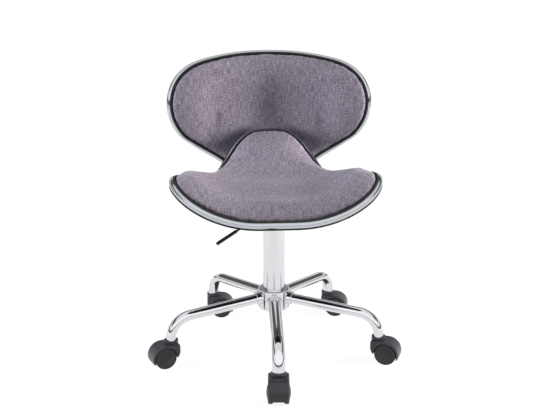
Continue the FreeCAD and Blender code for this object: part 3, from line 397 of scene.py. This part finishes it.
def cloth_run(y, z, bend):
    """Distance along a shell's centre line: level, then round the bend, then straight again."""
    radius, turn = bend
    if y <= BEND_Y:
        return y - BEND_Y
    angle = math.atan2(y - BEND_Y, BEND_Z - z)
    if angle <= turn:
        return radius * angle
    return radius * turn + (y - BEND_Y) * math.cos(turn) + (z - BEND_Z) * math.sin(turn)


def lay_weave(mesh, bend):
    """Stores where each point lies on the uncut cloth, in metres, as the map that the weave reads."""
    weave = mesh.uv_layers.new(name=WEAVE_MAP)
    for loop in mesh.loops:
        x, y, z = mesh.vertices[loop.vertex_index].co
        weave.data[loop.index].uv = (x, cloth_run(y, z, bend))


def fit_soft(piece, node, material):
    """Puts a soft piece in the place of its CAD solid."""
    piece.data.materials.clear()
    piece.data.materials.append(material)
    piece.data.shade_smooth()
    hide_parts(node)
    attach(piece, "seat")


def cover_material(cloth):
    """The upholstery cloth, made once."""
    name = "melange linen-look polyester"
    made = bpy.data.materials.get(name)
    return made or melange_weave(name, cloth, cloth.dark_yarn, cloth.yarn, cloth.pale_yarn)


def pad(name, node, sitter, bend, cloth):
    """A cushion grown from its CAD solid: an even mesh, blown up as cloth, then smoothed."""
    piece = welded_copy(name, node)
    even = piece.modifiers.new("Even mesh", "REMESH")
    even.mode = "VOXEL"
    even.voxel_size = cloth.voxel
    apply_modifiers(piece)
    soften(piece, cloth.smoothing)
    press_out(piece, sitter, cloth.snug)
    swell(piece, sitter, cloth)
    soften(piece, FINISHING * cloth.smoothing)
    lay_weave(piece.data, bend)
    rounding = piece.modifiers.new("Round", "SUBSURF")
    rounding.levels = rounding.render_levels = 1
    fit_soft(piece, node, cover_material(cloth))


def roll_hem(mesh, sitter, drop):
    """Rolls the lining's edge down into a hem that shows below the trim, round the front and the wings."""
    shape = bmesh.new()
    shape.from_mesh(mesh)
    under = {
        face for face in shape.faces
        if (sitter - face.calc_center_median()).dot(face.normal) < -UNDER_BEHIND}
    rim = {}
    for vertex in shape.verts:
        below = [face.normal for face in vertex.link_faces if face in under]
        # the rims of the screw holes stay as they are
        if 0 < len(below) < len(vertex.link_faces) and vertex.co.xy.length > SCREW_FIELD:
            rim[vertex] = sum(below, Vector()).normalized()
    for vertex, down in rim.items():
        vertex.co += down * drop * share_between(vertex.co.y, HEM_END_Y, HEM_FULL_Y)
    shape.to_mesh(mesh)
    shape.free()


class CHAIR_OT_seat(bpy.types.Operator):
    """Upholster the saddle seat"""

    bl_idname = "chair.seat"
    bl_label = "Seat padding"

    def execute(self, context):
        pad("seat_upholstery", "seat_cushion", SEAT_SITTER, SEAT_BEND, context.scene.chair_cloth)
        return {"FINISHED"}


class CHAIR_OT_back(bpy.types.Operator):
    """Upholster the wrap-round back"""

    bl_idname = "chair.back"
    bl_label = "Back padding"

    def execute(self, context):
        pad("back_upholstery", "back_cushion", BACK_SITTER, BACK_BEND, context.scene.chair_cloth)
        return {"FINISHED"}


class CHAIR_OT_linings(bpy.types.Operator):
    """Cover the back's rear and the seat's underside"""

    bl_idname = "chair.linings"
    bl_label = "Linings"

    def execute(self, context):
        cloth = context.scene.chair_cloth
        rear = welded_copy("back_rear_panel", "back_rear_cover")
        lay_weave(rear.data, BACK_BEND)
        fit_soft(rear, "back_rear_cover", cover_material(cloth))
        # spun lining cloth: near black, dull, with a faint crossed texture
        pale = [channel * LINING_FLECK for channel in cloth.lining[:3]] + [1.0]
        spun = melange_weave("black spun lining", cloth, cloth.lining, cloth.lining, pale)
        under = welded_copy("seat_under_panel", "seat_under_cover")
        roll_hem(under.data, SEAT_SITTER, cloth.hem_drop)
        lay_weave(under.data, SEAT_BEND)
        fit_soft(under, "seat_under_cover", spun)
        return {"FINISHED"}


class CHAIR_OT_edging(bpy.types.Operator):
    """Finish the shells, their piping and their bright trim"""

    bl_idname = "chair.edging"
    bl_label = "Shells and edging"

    def execute(self, context):
        look = context.scene.chair_finish
        # soft PVC over a cord: black, half gloss, with a leather-like emboss
        dress("piping", grained(
            "embossed vinyl piping", look.piping, grain=0.0012, depth=0.0002, roughness=0.52))
        # a rolled band under chromium: a mirror, a little greyer than the tubes; the grey is painted shade,
        # standing in for the darker surroundings it mirrors
        dress("bright_trim", chromium_plate("chromed edge trim, greyed as painted shade", look.trim, smear=0.05))
        # beech veneers pressed in a mould, seen only at the neck; their near-black colour is painted shade,
        # so that the shell showing beside the piping reads as a shadow line
        dress("shell_ply", grained(
            "beech plywood darkened as painted shade", look.ply, grain=0.002, depth=0.0002, roughness=0.6))
        return {"FINISHED"}


class CHAIR_OT_base(bpy.types.Operator):
    """Plate the base and the column"""

    bl_idname = "chair.base"
    bl_label = "Bright base"

    def execute(self, context):
        # bent steel tube, ground and plated: a clear mirror of the white room
        chrome = context.scene.chair_finish.chrome
        dress("chrome", chromium_plate("chromed steel tube", chrome, smear=0.04))
        return {"FINISHED"}


class CHAIR_OT_lift(bpy.types.Operator):
    """Finish the gas lift, the seat plate and the height lever"""

    bl_idname = "chair.lift"
    bl_label = "Lift and lever"

    def execute(self, context):
        look = context.scene.chair_finish
        # baked enamel over pressed steel: black with an orange-peel skin
        enamel = grained("black baked enamel", look.enamel, grain=0.0025, depth=0.00015, roughness=0.38)
        dress("black_steel", enamel)
        dress("lift_black", enamel)
        # zinc plate and ground bar: grey metal with a fine satin
        dress("zinc_steel", grained(
            "zinc-plated steel", look.steel, grain=0.0008, depth=0.00005, roughness=0.34, metallic=1.0))
        dress("bright_steel", grained(
            "ground steel", look.steel, grain=0.0006, depth=0.00003, roughness=0.22, metallic=1.0))
        # moulded rubber: black and dull
        dress("grip_rubber", grained(
            "rubber sleeve", look.rubber, grain=0.001, depth=0.0002, roughness=0.62))
        dress("bumper_rubber", grained(
            "rubber bumper", look.rubber, grain=0.0015, depth=0.0002, roughness=0.7))
        return {"FINISHED"}


class CHAIR_OT_castors(bpy.types.Operator):
    """Finish the castors"""

    bl_idname = "chair.castors"
    bl_label = "Castors"

    def execute(self, context):
        look = context.scene.chair_finish
        # glass-filled nylon from a spark-eroded mould: dark grey satin
        dress("black_plastic", grained(
            "moulded nylon hood", look.hood, grain=0.0009, depth=0.00012, roughness=0.36))
        dress("wheel_plastic", grained(
            "moulded nylon wheel", look.wheel, grain=0.0009, depth=0.00010, roughness=0.5))
        return {"FINISHED"}


def softbox(name, power, size, place, tint):
    """A square lamp that looks at the middle of the chair."""
    lamp = bpy.data.lights.new(name, "AREA")
    lamp.shape = "SQUARE"
    lamp.size = size
    lamp.energy = power
    lamp.color = tint
    box = stand(name, lamp)
    box.location = place
    box.rotation_euler = (LAMP_TARGET - box.location).to_track_quat("-Z", "Y").to_euler()
    # the white room, and not the lamp, is what the bright work mirrors
    box.visible_glossy = False


def seen_directly(tree):
    """1 for rays from the camera, from mirrors and through glass, 0 for the rays that light things."""
    path = add(tree, "ShaderNodeLightPath")
    mirrors = add(tree, "ShaderNodeMath", {
        0: path.outputs["Is Glossy Ray"], 1: path.outputs["Is Transmission Ray"]}, operation="MAXIMUM")
    return add(tree, "ShaderNodeMath", {
        0: path.outputs["Is Camera Ray"], 1: mirrors.outputs[0]}, operation="MAXIMUM").outputs[0]


class CHAIR_OT_studio(bpy.types.Operator):
    """Set up the paper floor, the lamps, the white room and the camera"""

    bl_idname = "chair.studio"
    bl_label = "Studio"

    def execute(self, context):
        scene = context.scene
        studio = scene.chair_studio
        scene.view_settings.view_transform = "Standard"
        self.lay_floor(studio)
        softbox("left_softbox", studio.left_lamp, size=1.1, place=(-2.2, -0.2, 0.72), tint=COOL)
        softbox("right_softbox", studio.right_lamp, size=1.1, place=(2.2, -0.2, 0.72), tint=WARM)
        softbox("top_softbox", studio.top_lamp, size=1.2, place=(0, 0.45, 2.3), tint=NEUTRAL)
        self.paint_room(scene, studio)
        self.stand_camera(scene, studio)
        return {"FINISHED"}

    def lay_floor(self, studio):
        """White studio paper: it looks white straight on and in mirrors, and still takes the shadow."""
        shape = bmesh.new()
        bmesh.ops.create_grid(shape, x_segments=1, y_segments=1, size=studio.floor_size / 2)
        mesh = bpy.data.meshes.new("paper_floor")
        shape.to_mesh(mesh)
        shape.free()
        floor = stand("paper_floor", mesh)
        paper = bpy.data.materials.new("white studio paper")
        tree = empty_tree(paper)
        matt = add(tree, "ShaderNodeBsdfDiffuse", {"Color": studio.paper})
        # the paper glows more away from the chair, out of the lamps' reach
        place = add(tree, "ShaderNodeTexCoord").outputs["Object"]
        reach = add(tree, "ShaderNodeVectorMath", {0: place}, operation="LENGTH")
        level = add(tree, "ShaderNodeMapRange", {
            "Value": reach.outputs["Value"], "From Min": 1.0, "From Max": 3.5, "To Min": 0.9, "To Max": 1.0})
        glow = add(tree, "ShaderNodeEmission", {"Strength": level.outputs[0]})
        bright = add(tree, "ShaderNodeAddShader", {0: matt.outputs[0], 1: glow.outputs[0]})
        mixed = add(tree, "ShaderNodeMixShader", {
            0: seen_directly(tree), 1: matt.outputs[0], 2: bright.outputs[0]})
        add(tree, "ShaderNodeOutputMaterial", {"Surface": mixed.outputs[0]})
        mesh.materials.append(paper)

    def paint_room(self, scene, studio):
        """A white room, whose dark parts give the bright work its bands."""
        scene.world = bpy.data.worlds.new("white room")
        tree = empty_tree(scene.world)
        place = add(tree, "ShaderNodeSeparateXYZ", {0: add(tree, "ShaderNodeTexCoord").outputs["Object"]})
        edges = {}
        for name, (axis, start, full) in ROOM_EDGES.items():
            edges[name] = add(tree, "ShaderNodeMapRange", {
                "Value": place.outputs[axis], "From Min": start, "From Max": full}).outputs[0]
        # a dark gap on the rear side, between backdrop and ceiling
        band = add(tree, "ShaderNodeMath", {0: edges["gap_foot"], 1: edges["gap_head"]}, operation="MULTIPLY")
        gap = add(tree, "ShaderNodeMath", {0: band.outputs[0], 1: edges["gap_side"]}, operation="MULTIPLY")
        # a dark skirting draws a thin line along each bright tube; only mirrors see it
        mirrored = add(tree, "ShaderNodeLightPath").outputs["Is Glossy Ray"]
        skirting = add(tree, "ShaderNodeMath", {0: edges["skirting"], 1: mirrored}, operation="MULTIPLY")
        dark = add(tree, "ShaderNodeMath", {0: gap.outputs[0], 1: skirting.outputs[0]}, operation="MAXIMUM")
        # the wall behind the camera holds a wide reflector
        wall = add(tree, "ShaderNodeMapRange", {
            "Value": edges["reflector"], "To Min": WALL_LIGHT, "To Max": REFLECTOR_LIGHT})
        room = add(tree, "ShaderNodeMapRange", {
            "Value": dark.outputs[0], "To Min": wall.outputs[0], "To Max": GAP_LIGHT})
        strength = add(tree, "ShaderNodeMapRange", {
            "Value": seen_directly(tree), "To Min": studio.fill, "To Max": room.outputs[0]})
        sky = add(tree, "ShaderNodeBackground", {"Color": (1, 1, 1, 1), "Strength": strength.outputs[0]})
        add(tree, "ShaderNodeOutputWorld", {"Surface": sky.outputs[0]})

    def stand_camera(self, scene, studio):
        """A camera at the photograph's viewing angle."""
        lens = bpy.data.cameras.new("camera")
        lens.sensor_fit = "HORIZONTAL"
        lens.sensor_width = SENSOR_MM
        lens.lens = studio.lens
        camera = stand("camera", lens)
        camera.location = studio.camera_place
        camera.rotation_euler = Euler((math.pi / 2 - studio.camera_pitch, 0, studio.camera_yaw))
        scene.camera = camera


class CHAIR_PT_sidebar(bpy.types.Panel):
    """The chair's pieces and settings"""

    bl_idname = "CHAIR_PT_sidebar"
    bl_label = "Work chair"
    bl_space_type = "VIEW_3D"
    bl_region_type = "UI"
    bl_category = "Chair"

    def draw(self, context):
        for operator in OPERATORS:
            self.layout.operator(operator.bl_idname)
        for group, kind in SETTINGS.items():
            box = self.layout.box()
            for name in kind.__annotations__:
                box.prop(getattr(context.scene, group), name)


SETTINGS = {"chair_cloth": ChairCloth, "chair_finish": ChairFinish, "chair_studio": ChairStudio}
OPERATORS = (
    CHAIR_OT_seat, CHAIR_OT_back, CHAIR_OT_linings, CHAIR_OT_edging, CHAIR_OT_base, CHAIR_OT_lift,
    CHAIR_OT_castors, CHAIR_OT_studio)
CLASSES = tuple(SETTINGS.values()) + OPERATORS + (CHAIR_PT_sidebar,)


def register():
    for each in CLASSES:
        bpy.utils.register_class(each)
    for name, group in SETTINGS.items():
        setattr(bpy.types.Scene, name, PointerProperty(type=group))


def unregister():
    for name in SETTINGS:
        delattr(bpy.types.Scene, name)
    for each in reversed(CLASSES):
        bpy.utils.unregister_class(each)


def main():
    register()
    bpy.ops.chair.seat()
    bpy.ops.chair.back()
    bpy.ops.chair.linings()
    bpy.ops.chair.edging()
    bpy.ops.chair.base()
    bpy.ops.chair.lift()
    bpy.ops.chair.castors()
    bpy.ops.chair.studio()


if __name__ == "__main__":
    main()
